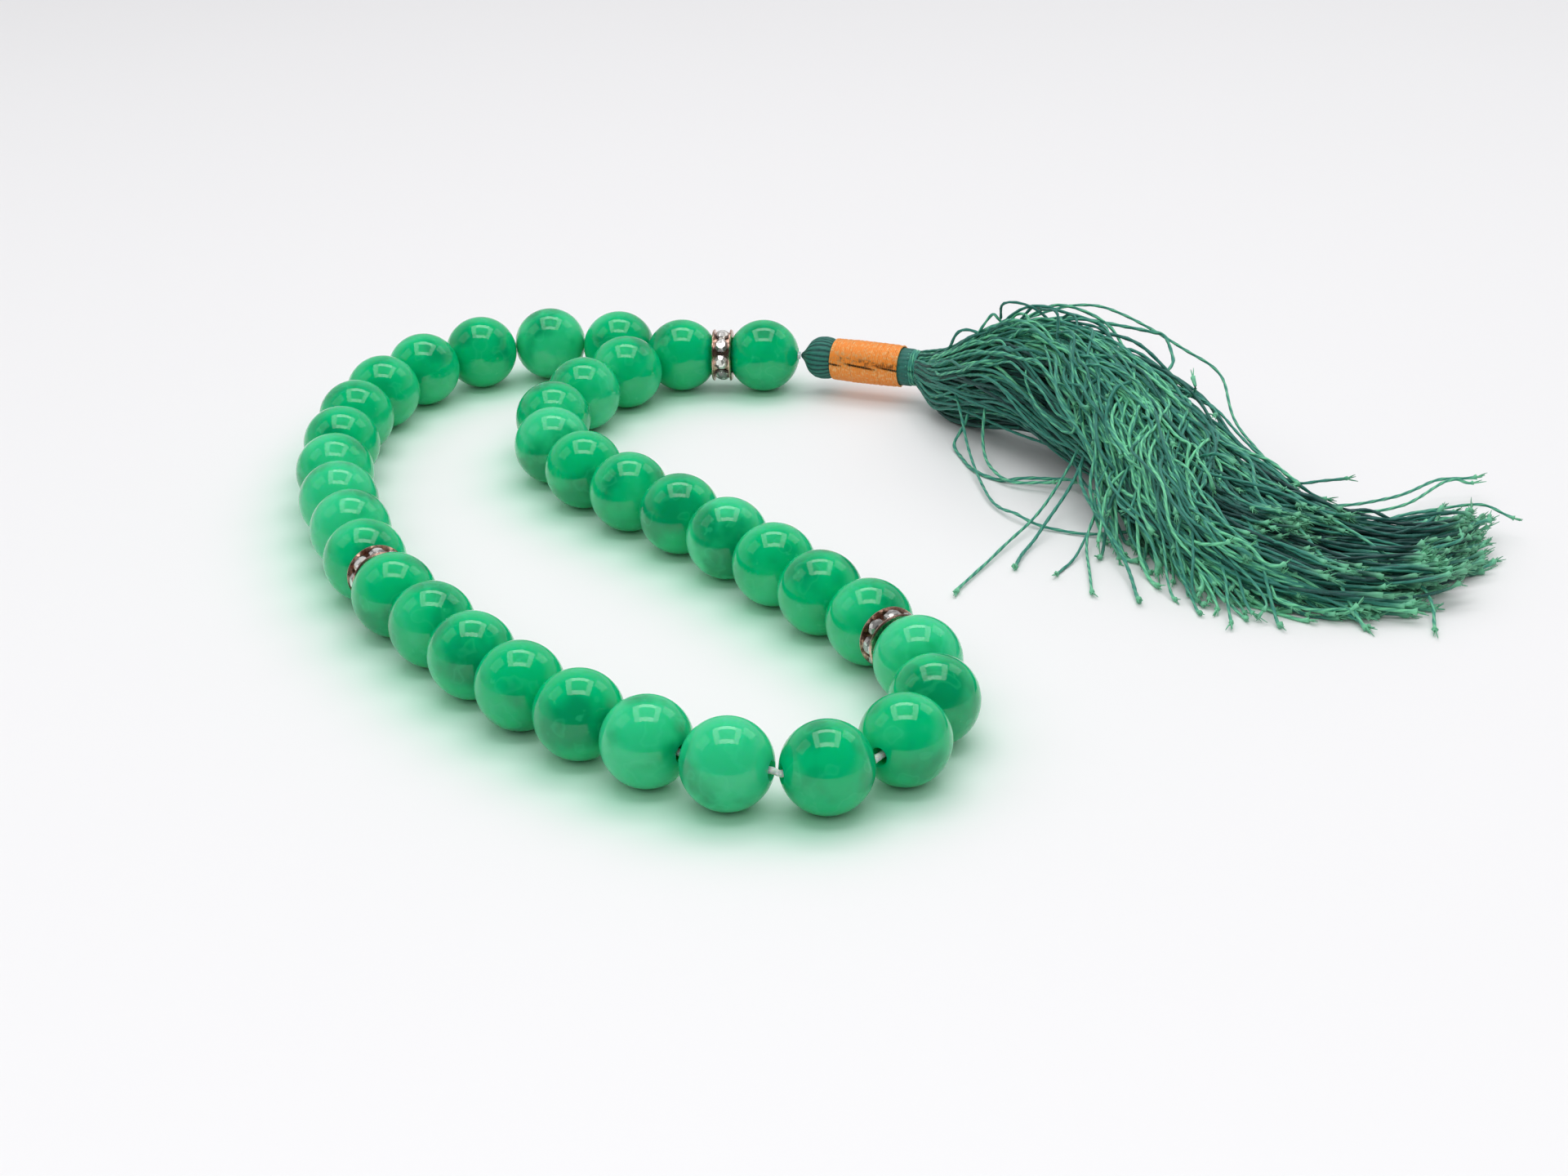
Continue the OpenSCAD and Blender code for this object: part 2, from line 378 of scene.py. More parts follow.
def threadFinish(name):
    # twisted two-ply thread: slanting plies from the map, paler frayed ends, and painted shade and painted
    # light from each thread's stored tone and the ply crests
    thread = Finish(name, Sheen_Weight=0.12, Sheen_Roughness=0.4, Specular_IOR_Level=0.45)
    across, along = thread.part(thread.unwrapped(), 0), thread.part(thread.unwrapped(), 1)
    turn = along * (4 * math.pi / (skirtLook["plyPitch"] * mm)) + across * (4 * math.pi)
    ply = thread.node("ShaderNodeMath", {"operation": "SINE"}, {0: turn}) * 0.5 + 0.5
    fuzz = thread.noise(thread.place(), 2400.0, 2.0)
    toneAndShade = thread.stored("strandTone")
    tip = thread.stored("strandTip")
    # painted shade: a low stored tone mixes the thread towards the shadow colour
    outer = thread.between(toneAndShade + 0.3 * (fuzz - 0.5), 0.0, 0.6)
    # painted light: a high stored tone and the ply crests mix the thread towards the lit colour
    lit = thread.between(toneAndShade + 0.35 * ply, 0.7, 1.35)
    shade = thread.mix(outer, threadLook["shadow"], threadLook["body"])
    shade = thread.mix(lit, shade, threadLook["lit"])
    shade = thread.mix(tip * 0.75, shade, threadLook["tip"])
    thread.set("Base Color", shade)
    thread.set("Roughness", 0.5 + 0.2 * fuzz)
    thread.bump(ply + 0.4 * fuzz, 0.6, 0.00008)
    return thread.material


goldLook = {
    # dark is painted shade for the crease and pale is painted glints
    "bright": (1.0, 0.34, 0.045), "dark": (0.4, 0.1, 0.01), "pale": (1.0, 0.72, 0.36),
    "sheen": (1.0, 0.45, 0.12),
    "creaseHeight": 6.0,     # mm above the ground, where the wrap is creased along its side
    "creaseDepth": 0.45,
}


def goldFinish():
    # close metallic winding with painted pale glints and one dark ragged crease along it, painted as shade
    sheen = {"Sheen_Weight": 0.55, "Sheen_Roughness": 0.35, "Sheen_Tint": goldLook["sheen"]}
    gold = Finish("metallic_thread", Specular_IOR_Level=0.6, **sheen)
    place = gold.place()
    broad = gold.noise(place, 420.0, 3.0, 0.6)
    fine = gold.noise(place, 2600.0, 2.0)
    # painted shade: a dark ragged band painted along the crease, at a set height above the ground
    height = gold.part(place, 2) * 1000.0 + 2.2 * (broad - 0.5) + 0.8 * (fine - 0.5)
    off = gold.node("ShaderNodeMath", {"operation": "ABSOLUTE"}, {0: height - goldLook["creaseHeight"]})
    creaseShade = (1.0 - gold.between(off, 0.08, goldLook["creaseDepth"])) * gold.between(fine + broad, 0.85, 1.1)
    # painted highlight: pale glints where the fine noise is high
    shade = gold.mix(gold.between(fine, 0.48, 0.66) * 0.6, goldLook["bright"], goldLook["pale"])
    shade = gold.mix(creaseShade * 0.85, shade, goldLook["dark"])
    gold.set("Base Color", shade)
    gold.set("Metallic", 0.1 + 0.5 * gold.between(fine, 0.45, 0.7))
    gold.set("Roughness", 0.3 + 0.2 * broad)
    gold.bump(fine + broad, 0.35, 0.0001)
    return gold.material


def floorFinish():
    # pale matt floor with painted green light round the stones, in place of light that comes through them
    floor = Finish("floor", Roughness=0.5, Specular_IOR_Level=0.25)
    haze = floor.noise(floor.place(), 6.0, 2.0)
    pale = floor.mix(haze, studio["floorColour"], tuple(0.98 * v for v in studio["floorColour"]))
    # painted light: the stored glow mixes the floor colour towards green
    floor.set("Base Color", floor.mix(floor.stored("stoneGlow"), pale, studio["paintedGlowColour"]))
    return floor.material


def dress(node, material):
    mesh = nodes[node].data
    mesh.materials.clear()
    mesh.materials.append(material)


def addMesh(name, points, faces, material, maps=None, attributes=None):
    # points (n, 3) in metres and faces as rows of indices, put into one mesh object at the origin
    mesh = bpy.data.meshes.new(name)
    mesh.vertices.add(len(points))
    mesh.vertices.foreach_set("co", points.astype(np.float32).ravel())
    groups = faces if isinstance(faces, list) else [faces]
    loops = np.concatenate([group.ravel() for group in groups])
    sizes = np.concatenate([np.full(len(group), group.shape[1]) for group in groups])
    starts = np.concatenate([[0], np.cumsum(sizes)[:-1]])
    mesh.loops.add(len(loops))
    mesh.loops.foreach_set("vertex_index", loops.astype(np.int32))
    mesh.polygons.add(len(sizes))
    mesh.polygons.foreach_set("loop_start", starts.astype(np.int32))
    mesh.polygons.foreach_set("loop_total", sizes.astype(np.int32))
    mesh.polygons.foreach_set("use_smooth", np.full(len(sizes), True))
    if maps is not None:
        layer = mesh.uv_layers.new(name="map")
        layer.data.foreach_set("uv", maps[loops].astype(np.float32).ravel())
    for key, values in (attributes or {}).items():
        stored = mesh.attributes.new(key, "FLOAT", "POINT")
        stored.data.foreach_set("value", values.astype(np.float32))
    mesh.materials.append(material)
    mesh.update(calc_edges=True)
    mesh.validate()
    made = bpy.data.objects.new(name, mesh)
    bpy.context.scene.collection.objects.link(made)
    return made


def lengthOf(vectors):
    return np.linalg.norm(vectors, axis=-1, keepdims=True)


def smoothPaths(controls, samples):
    # Catmull-Rom curves through the control points of many paths at once:
    # an array of (paths, controls, 3) becomes one of (paths, samples, 3)
    before = 2 * controls[:, :1] - controls[:, 1:2]
    after = 2 * controls[:, -1:] - controls[:, -2:-1]
    padded = np.concatenate([before, controls, after], 1)
    spans = controls.shape[1] - 1
    at = np.linspace(0, spans, samples)
    span = np.minimum(at.astype(int), spans - 1)
    t = (at - span)[None, :, None]
    a, b, c, d = (padded[:, span + k] for k in range(4))
    second, third = 2 * a - 5 * b + 4 * c - d, 3 * b - a - 3 * c + d
    return 0.5 * (2 * b + (c - a) * t + second * t ** 2 + third * t ** 3)


def sampleAgain(paths, shares):
    # each path read again at the given shares of its length
    at = np.clip(shares, 0, 1) * (paths.shape[1] - 1)
    low = np.minimum(at.astype(int), paths.shape[1] - 2)
    part = (at - low)[..., None]
    row = np.arange(len(paths))[:, None]
    return paths[row, low] * (1 - part) + paths[row, low + 1] * part


def tubesAlong(paths, radii, sides, flat, pitch, first, last):
    # every path carries an oval section whose long side turns as it goes:
    # centre + s r (cos(a) side + sin(a) up), where s = 1 - (1 - flat) sin(a - 2 pi length / pitch) ^ 2;
    # rings from first to last are kept, and both ends are capped
    count, rings = paths.shape[:2]
    along = np.gradient(paths, axis=1)
    along /= np.maximum(lengthOf(along), 1e-9)
    side = np.cross(np.array([0.05, 0.08, 1.0]), along)
    side /= np.maximum(lengthOf(side), 1e-9)
    up = np.cross(along, side)
    steps = np.linalg.norm(np.diff(paths, axis=1), axis=-1)
    run = np.concatenate([np.zeros((count, 1)), np.cumsum(steps, 1)], 1)
    corner = np.arange(sides) * 2 * math.pi / sides
    spin = 2 * math.pi * run / pitch
    # the corners stay put while the oval turns, so the skin doesn't shear
    angle = corner[None, None, :] + np.zeros_like(run)[:, :, None]
    swell = 1 - (1 - flat) * np.sin(angle - spin[:, :, None]) ** 2
    reach = radii[:, :, None] * swell
    points = (paths[:, :, None] + (reach * np.cos(angle))[..., None] * side[:, :, None]
              + (reach * np.sin(angle))[..., None] * up[:, :, None])
    around = np.broadcast_to(corner / (2 * math.pi), reach.shape)
    maps = np.stack([around, np.broadcast_to(run[:, :, None], reach.shape)], -1)
    index = np.arange(count * rings * sides).reshape(count, rings, sides)
    turned = np.roll(index, -1, 2)
    walls = np.stack([index[:, :-1], turned[:, :-1], turned[:, 1:], index[:, 1:]], -1)
    ring = np.arange(rings - 1)[None]
    kept = (ring >= first[:, None]) & (ring < last[:, None])
    walls = walls[kept].reshape(-1, 4)
    each = np.arange(count)
    startCaps = index[each, first][:, ::-1]
    endCaps = index[each, last]
    listed = np.concatenate([walls.ravel(), startCaps.ravel(), endCaps.ravel()])
    used, renumbered = np.unique(listed, return_inverse=True)
    parts = np.split(renumbered, np.cumsum([walls.size, startCaps.size]))
    faces = [parts[0].reshape(-1, 4), parts[1].reshape(-1, sides), parts[2].reshape(-1, sides)]
    owner = (used // (rings * sides)).astype(int)
    ringOf = (used // sides) % rings
    return points.reshape(-1, 3)[used], faces, maps.reshape(-1, 2)[used], owner, ringOf


def makeFloor():
    # a flat grid, fine under the beads; its glow is 1 - the product of 1 - depth exp(-(distance / reach)^2)
    # over the beads, each a little to the side that its light falls on
    half = studio["floorSize"] / 2
    outer = np.geomspace(0.13, half, 8)
    side = np.concatenate([-outer[::-1], np.linspace(-0.12, 0.12, 201), outer])
    x, y = np.meshgrid(side, side)
    points = np.stack([x.ravel(), y.ravel(), np.zeros(x.size)], 1)
    grid = np.arange(x.size).reshape(x.shape)
    faces = np.stack([grid[:-1, :-1], grid[:-1, 1:], grid[1:, 1:], grid[1:, :-1]], -1).reshape(-1, 4)
    beads = [np.mean(np.array(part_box(name)), 0) for name in nodes if "bead" in name]
    lit = np.array(beads)[:, :2] + np.array(studio["glowShift"]) * mm
    away = ((points[:, None, :2] - lit[None]) ** 2).sum(-1) / (studio["glowReach"] * mm) ** 2
    # painted light: how strongly the green glow is painted at each point of the floor
    glow = 1 - np.prod(1 - studio["glowDepth"] * np.exp(-away), axis=1)
    floor = addMesh("floor", points, faces, floorFinish(), None, {"stoneGlow": glow})


makeFloor()
print("floor made")


def dressBeads():
    kinds = {kind: stoneFinish("stone_" + kind, *span) for kind, span in stoneLook["kinds"].items()}
    deep, milky = stoneLook["deepBeads"], stoneLook["milkyBeads"]
    for number in range(1, 34):
        kind = "deep" if number in deep else "milky" if number in milky else "even"
        dress("bead_%02d" % number, kinds[kind])
    dress("neck_bead", kinds["deep"])
    dress("leader_bead", kinds["even"])


dressBeads()
dress("string", cordFinish())
rose, gem = roseFinish(), gemFinish()
for number in (1, 2, 3):
    dress("spacer_%d_ring" % number, rose)
    dress("spacer_%d_stones" % number, gem)
print("beads, string and spacers dressed")


knotAt = np.array(joints["tassel_swing"]["pos_m"])
collarEnd = np.array(joints["skirt_bend"]["pos_m"])
headLine = (collarEnd - knotAt) / np.linalg.norm(collarEnd - knotAt)
headSide = np.array([-headLine[1], headLine[0], 0])
headUp = np.array([0, 0, 1.0])

headLook = {
    "bulbStart": -0.65, "bulbLength": 4.5, "bulbRadius": 2.95, "folds": 26, "foldDepth": 0.16,
    "bulbPlaces": (0, 0.015, 0.065, 0.1, 0.14, 0.175, 0.24, 0.34, 0.5, 0.7, 0.88, 1),
    "bulbShape": (0.03, 0.09, 0.17, 0.22, 0.3, 0.375, 0.55, 0.78, 0.95, 1.0, 0.96, 0.85),
    "wrapLength": 10.2, "wrapRadius": 3.0, "wrapThread": 0.13, "wrapPitch": 0.2,
    "collarLength": 2.6, "collarRadius": 2.45, "collarThread": 0.24, "collarPitch": 0.38,
    "bulge": 0.1, "boundRadius": 2.55,
}


def headPoints(along, radius, angle):
    # a point of the head from its distance along the line, its radius and its angle round it, all in mm
    centre = knotAt + along[..., None] * mm * headLine
    outward = np.cos(angle)[..., None] * headSide + np.sin(angle)[..., None] * headUp
    return centre + (radius * mm)[..., None] * outward


def closedGrid(shape):
    # faces of a grid of rings that closes round its second index, with an end cap on each end ring
    rings, sides = shape
    index = np.arange(rings * sides).reshape(shape)
    turned = np.roll(index, -1, 1)
    walls = np.stack([index[:-1], turned[:-1], turned[1:], index[1:]], -1).reshape(-1, 4)
    return [walls, index[:1, ::-1], index[-1:]]


def smoothRows(values, times):
    # moves each row towards the mean of its neighbours, end rows held
    for _ in range(times):
        values[1:-1] = 0.5 * values[1:-1] + 0.25 * (values[:-2] + values[2:])
    return values


def joinHead(piece, node=None):
    # every piece of the head moves with it, and may stand for one of its plain solids
    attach(piece, "tassel_head")
    if node:
        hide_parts(node)


def makeBulb(material):
    # radius = rounded profile + rounded grooves: |cos(folds angle / 2 + slow twist)| between folded threads
    look = headLook
    t = np.linspace(0, 1, 60)[:, None]
    angle = np.linspace(0, 2 * math.pi, 320, endpoint=False)[None]
    profile = look["bulbRadius"] * np.interp(t, look["bulbPlaces"], look["bulbShape"])
    profile = smoothRows(profile, 2)
    wander = 0.5 * np.sin(3 * angle + 2 * t) + 0.35 * np.sin(5 * angle - 3 * t)
    groove = np.abs(np.cos(look["folds"] / 2 * angle + wander + 1.2 * t))
    radius = profile + look["foldDepth"] * np.minimum(1, 3 * t) * (groove ** 0.6 - 0.75)
    along = look["bulbStart"] + t * (look["bulbLength"] - look["bulbStart"]) + 0 * angle
    points = headPoints(along, radius, angle + 0 * t)
    maps = np.stack([groove, along * mm], -1)
    # painted shade: the tone is low in the grooves between the folds, so they come out darker
    values = {"strandTone": 0.1 + 0.3 * groove.ravel(), "strandTip": np.zeros(radius.size)}
    faces = closedGrid(radius.shape)
    bulb = addMesh("folded_bulb", points.reshape(-1, 3), faces, material, maps.reshape(-1, 2), values)
    joinHead(bulb, "thread_bulb")


def makeWinding(name, node, start, length, radius, bulge, thread, pitch, material, seed):
    # a thread wound in a helix: the path angle grows by a turn each pitch while it moves along,
    # with a small random wander of the pitch and of the radius
    random = np.random.default_rng(seed)
    turns = (length - thread * 2) / pitch
    samples = int(turns * 40)
    u = np.linspace(0, 1, samples)
    angle = 2 * math.pi * turns * u
    slow = np.interp(u * 30, np.arange(31), random.normal(0, 1, 31))
    wave = np.interp(u * turns, np.arange(int(turns) + 2), random.normal(0, 1, int(turns) + 2))
    along = start + thread + u * (length - 2 * thread) + pitch * 0.25 * np.sin(angle + wave) * slow * 0.4
    out = radius - thread + bulge * np.sin(math.pi * u) ** 0.8 + 0.03 * wave
    path = headPoints(along, out, angle)
    radii = np.full((1, samples), thread * mm)
    first, last = np.array([0]), np.array([samples - 1])
    points, faces, maps, _, ringOf = tubesAlong(path[None], radii, 6, 0.8, 0.5 * mm, first, last)
    values = {"strandTone": 0.5 + 0.2 * wave[ringOf], "strandTip": np.zeros(len(points))}
    wound = addMesh(name, points, faces, material, maps, values)
    joinHead(wound, node)


def makeUnderWrap(name, start, length, radius, material):
    # the bound threads just under a winding, a plain closed sleeve with soft lengthwise ridges
    t = np.linspace(0, 1, 24)[:, None]
    angle = np.linspace(0, 2 * math.pi, 96, endpoint=False)[None]
    rim = np.minimum(1, 6 * np.minimum(t, 1 - t) + 0.55)
    out = radius * rim + 0.06 * np.cos(24 * angle)
    points = headPoints(start + t * length + 0 * angle, out, angle + 0 * t)
    maps = np.stack([angle + 0 * t, t * length * mm + 0 * angle], -1)
    values = {"strandTone": np.full(out.size, 0.3), "strandTip": np.zeros(out.size)}
    faces = closedGrid(out.shape)
    sleeve = addMesh(name, points.reshape(-1, 3), faces, material, maps.reshape(-1, 2), values)
    joinHead(sleeve)


def makeHead(green):
    look = headLook
    wrapStart, wrapLength = look["bulbLength"], look["wrapLength"]
    collarStart, collarLength = wrapStart + wrapLength, look["collarLength"]
    gold = goldFinish()
    makeBulb(green)
    makeWinding("gold_winding", "gold_wrap", wrapStart, wrapLength, look["wrapRadius"] - look["bulge"],
                look["bulge"], look["wrapThread"], look["wrapPitch"], gold, 3)
    makeWinding("collar_winding", "thread_collar", collarStart, collarLength, look["collarRadius"],
                look["bulge"], look["collarThread"], look["collarPitch"], green, 4)
    boundLength = wrapLength + collarLength + 0.2
    makeUnderWrap("bound_threads", wrapStart - 0.3, boundLength, look["boundRadius"], green)
    dress("tassel_core", green)
    dress("tassel_knot", green)


# the bow that the skirt lies in: x, y, half width and half height in mm;
# the last row is only for the longest ends
skirtBow = np.array([
    (10, 46, 3.5, 5), (14.5, 40.5, 5, 7), (20, 35, 7, 8.2), (26.5, 28.5, 8.5, 8),
    (32, 20, 9, 7), (36, 11, 9.5, 5.6), (40, 1.5, 10, 4.6), (44, -6, 10.5, 3.9),
    (50, -11.5, 10.5, 3.5), (58, -14, 10, 3.2), (65.5, -13, 9.5, 3), (72, -9, 9, 2.8), (77, -4.5, 8, 2.6),
])
skirtLook = {
    "centreShift": (-0.35, 0.3),   # mm, as the bead loop's
    "rootHalf": 2.3,               # half width and height in the collar
    "threadRadius": 0.24,
    "plyPitch": 4.2,
    "bendReach": 6.0,              # mm that the threads take to turn at each joint
    "frayHairs": 4, "frayLength": 1.15, "frayRadius": 0.13,
}
random = np.random.default_rng(11)
frayed = []

green = threadFinish("green_thread")
makeHead(green)
print("tassel head made")


bowSteps = 60   # to a row of the bow


def bowLine():
    # the bow's centre line, side direction, half width and half height
    shift = np.array(skirtLook["centreShift"])
    line = np.concatenate([[collarEnd[:2] / mm], skirtBow[:, :2] + shift]) * mm
    root = [skirtLook["rootHalf"]]
    wide = np.concatenate([root, skirtBow[:, 2]]) * mm
    high = np.concatenate([root, skirtBow[:, 3]]) * mm
    level = high.copy()
    level[0] = collarEnd[2]
    way = np.gradient(line, axis=0)
    way[0] = headLine[:2]
    way /= lengthOf(way)
    rings = np.column_stack([line, level, -way[:, 1], way[:, 0], wide, high])
    return smoothPaths(rings[None], bowSteps * len(skirtBow) + 1)[0]


bow = bowLine()


def bowPoint(position, across, over):
    # centre + across * half width * side + over * half height * up; position counts rows from the collar
    place = np.arange(len(bow)) / bowSteps
    x, y, z, sideX, sideY, wide, high = (np.interp(position, place, column) for column in bow.T)
    return np.stack([x + across * wide * sideX, y + across * wide * sideY, z + over * high], -1)


def stepsTo(last, rings):
    # shares of a thread's length: even steps, then three short ones to the cut end
    tail = np.array([-1.0, -0.5, 0.0]) * 0.009
    shares = np.concatenate([np.linspace(0, 1 - 0.018, rings - 3), 1 + tail])
    return last[:, None] * shares[None]


def waver(paths, amount, seed):
    # adds slow sines with their own phases and strength to every thread, growing from the collar
    local = np.random.default_rng(seed)
    count, rings = paths.shape[:2]
    u = np.linspace(0, 1, rings)[None, :, None]
    moved = np.zeros_like(paths)
    for waves in (1.7, 3.6, 7.5):
        phase = local.uniform(0, 2 * math.pi, (count, 1, 3))
        speed = local.uniform(0.8, 1.2, (count, 1, 3))
        moved += np.sin(2 * math.pi * waves * u * speed + phase) / waves ** 1.2
    return paths + amount * local.uniform(0.3, 1.7, (count, 1, 1)) * np.minimum(1, 1.9 * u) ** 1.8 * moved


def ringAtPlane(paths, point, way):
    # the first ring of each path past a plane
    past = (paths - point) @ way > 0
    return np.where(past.any(1), past.argmax(1), paths.shape[1] - 1)


# where the skirt curls, and the plane before it where every thread is cut into its two pieces
cutAt = np.array([0.0245, 0.030, 0.0])
cutWay = np.array([0.66, -0.75, 0])


def skirtPiece(made, part):
    # each piece is fixed where it is made, and the plain solid for its length of the skirt is hidden
    if part == "upper":
        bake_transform(made)
    else:
        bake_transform(made)
    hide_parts("skirt_" + part)


def addThreads(name, paths, sides, toneAndShade):
    # one lot of threads as two pieces, one for each length of the skirt; nothing goes below the ground
    count, rings = paths.shape[:2]
    radius = skirtLook["threadRadius"] * mm
    radii = np.full((count, rings), radius) * random.uniform(0.85, 1.15, (count, 1))
    radii[:, -3:] *= [1.05, 1.45, 1.9]
    paths[..., 2] = np.maximum(paths[..., 2], radii + 0.00002)
    tip = np.zeros((count, rings))
    tip[:, -4:] = [0.1, 0.4, 0.8, 1.0]
    cut = np.clip(ringAtPlane(paths, cutAt, cutWay), 1, rings - 2)
    none, end = np.zeros(count, int), np.full(count, rings - 1)
    pitch = skirtLook["plyPitch"] * mm
    for part, first, last in (("upper", none, cut), ("lower", cut, end)):
        points, faces, maps, owner, ringOf = tubesAlong(paths, radii, sides, 0.72, pitch, first, last)
        values = {"strandTone": toneAndShade[owner], "strandTip": tip[owner, ringOf]}
        skirtPiece(addMesh(name + "_" + part, points, faces, green, maps, values), part)
    frayed.append((paths[:, -1], paths[:, -1] - paths[:, -3], toneAndShade))


bundleLook = {
    "locks": 44,                  # groups of threads that keep together
    "inner": 170, "outer": 300,
    "reach": 11.3,                # rows of the bow from the collar to the cut ends
    "topReach": (8.3, 9.2),       # and for the locks on top
    "waver": 0.0012,              # m
}


def makeBundle():
    # the long threads: each stays near its lock's own place in the bow's oval, which slowly turns along
    # the bow, and the oval's lower part is drawn up where the skirt arches
    look = bundleLook
    locks, half = look["locks"], look["outer"] // 2
    lockAngle = np.linspace(0, 2 * math.pi, locks, endpoint=False) + random.normal(0, 0.1, locks)
    lockRadius = np.sqrt(random.uniform(0.15, 1, locks))
    lockTurn, lockPhase = random.normal(0.25, 0.5, locks), random.uniform(0, 2 * math.pi, locks)
    lockAcross = lockRadius * np.cos(lockAngle + lockTurn)
    shorter = random.choice([0.0, 0.3, 0.7, 1.2], locks, p=[0.4, 0.3, 0.2, 0.1])
    lockEnd = look["reach"] + 1.5 * lockAcross - shorter
    onTop = (np.sin(lockAngle + lockTurn) > 0.78) & (lockRadius > 0.55)
    lockEnd[onTop] = random.uniform(*look["topReach"], onTop.sum())
    lots = (
        ("bundle_inner", look["inner"], 0.72, 5, 66),
        ("bundle_a", half, 1.0, 6, 100),
        ("bundle_b", half, 1.0, 6, 100),
    )
    for seed, (name, count, fill, sides, rings) in enumerate(lots):
        own = random.integers(0, locks, count)
        phase = lockPhase[own][:, None]
        at = stepsTo(np.clip(lockEnd[own] + random.normal(0, 0.1, count), 7, 13), rings)
        swing = 0.16 * np.sin(at * 1.1 + phase) + 0.1 * np.sin(at * 2.3 + random.uniform(0, 6, (count, 1)))
        start = (lockAngle[own] + random.normal(0, 0.14, count))[:, None]
        turn = (lockTurn[own] + random.normal(0, 0.2, count))[:, None]
        angle = start + turn * at / 12 + swing
        radius = fill * np.clip(lockRadius[own] + random.normal(0, 0.09, count), 0, 1)[:, None]
        radius = radius * (1 + 0.06 * np.sin(at * 1.7 + phase))
        across, over = radius * np.cos(angle), radius * np.sin(angle)
        arch = np.exp(-((at - 3.0) / 1.1) ** 2)
        over = over + 0.17 * arch * (1 - over)
        over = over * (1 + np.where(onTop[own], 0.5, 0.0)[:, None] * np.clip((at - 6.5) / 2, 0, 1))
        across = across * (1 + np.where(across < 0, 0.22, 0.0) * np.clip((at - 8) / 2, 0, 1))
        paths = waver(bowPoint(at, across, over), look["waver"], 20 + seed)
        # painted shade: threads of locks nearer the middle of the bundle get lower tones and come out darker,
        # with a random spread
        toneAndShade = 0.24 + 0.45 * (lockRadius[own] - 0.5) + random.normal(0, 0.22, count)
        addThreads(name, paths, sides, np.clip(toneAndShade, 0, 1))


fanLook = {
    "threads": 190,
    "leave": (2.8, 3.9),          # rows to where the first leaves the top, and from it to the last
    "lean": (70, 118),            # degrees, where it crosses the top
    "far": (0.95, 0.62),          # half widths out to the nearest ends, and from them to the farthest
    "waver": 0.0021,
}


def makeFan():
    # shorter threads that follow the bow to the top of its arch, come over it and slant down its front,
    # some to the ground and some cut off on the way
    look, rings = fanLook, 88
    count = look["threads"]
    leave = look["leave"][0] + look["leave"][1] * random.uniform(0, 1, count) ** 0.85
    last = np.clip(leave + 3.5 + random.normal(0, 0.6, count), 6.9, 9.8)
    step = last - leave
    lean = np.radians(random.uniform(*look["lean"], count))
    grow = random.uniform(1.0, 1.12, count)
    first = random.uniform(0, 2 * math.pi, count)
    inset = random.uniform(0.3, 0.95, count)
    far = look["far"][0] + look["far"][1] * random.uniform(0, 1, count) ** 2.4
    places = (0 * leave, leave * 0.33, leave * 0.68, leave, leave + 0.33 * step, leave + 0.66 * step, last)
    across = (
        inset * np.cos(first),
        inset * np.cos(first) * 0.7 + 0.2 * np.cos(lean),
        0.9 * np.cos(lean),
        grow * np.cos(lean),
        -grow * random.uniform(0.45, 0.75, count),
        -grow * random.uniform(0.76, 0.98, count),
        -far,
    )
    over = (
        inset * np.sin(first),
        0.45 + 0.3 * np.sin(first),
        0.95 * np.sin(lean),
        grow * np.sin(lean),
        grow * random.uniform(0.7, 0.9, count),
        random.uniform(0.05, 0.5, count),
        random.uniform(-0.96, -0.75, count),
    )
    controls = bowPoint(np.stack(places, 1), np.stack(across, 1), np.stack(over, 1))
    share = np.where(random.uniform(0, 1, count) < 0.5, 1.0, random.uniform(0.72, 0.97, count))
    paths = waver(sampleAgain(smoothPaths(controls, 400), stepsTo(share, rings)), look["waver"], 40)
    # painted light: the fan's tones run higher than the bundle's, so its threads over the top and front of
    # the arch come out lighter, with a random spread
    addThreads("fan", paths, 6, np.clip(0.3 + 0.75 * random.uniform(0, 1, count), 0, 1))


crownLook = {"threads": 36, "reach": (4.2, 8.6), "rise": 0.11, "waver": 0.0028}


def makeCrown():
    # loose threads on top of the arch that stand off the others
    look, rings = crownLook, 76
    count = look["threads"]
    at = stepsTo(random.uniform(*look["reach"], count), rings)
    angle = np.radians(random.uniform(20, 150, count))[:, None]
    angle = angle + random.normal(0, 0.35, (count, 1)) * at / 8
    standOff = random.uniform(0.0, look["rise"], (count, 1)) * np.minimum(1, at / 3) * (1 - 0.5 * at / 12)
    rise, spread = 1 + standOff, np.minimum(1, 0.3 + at)
    paths = bowPoint(at, rise * np.cos(angle) * spread, rise * np.sin(angle) * spread)
    addThreads("crown", waver(paths, look["waver"], 60), 6, random.uniform(0.3, 0.9, count))


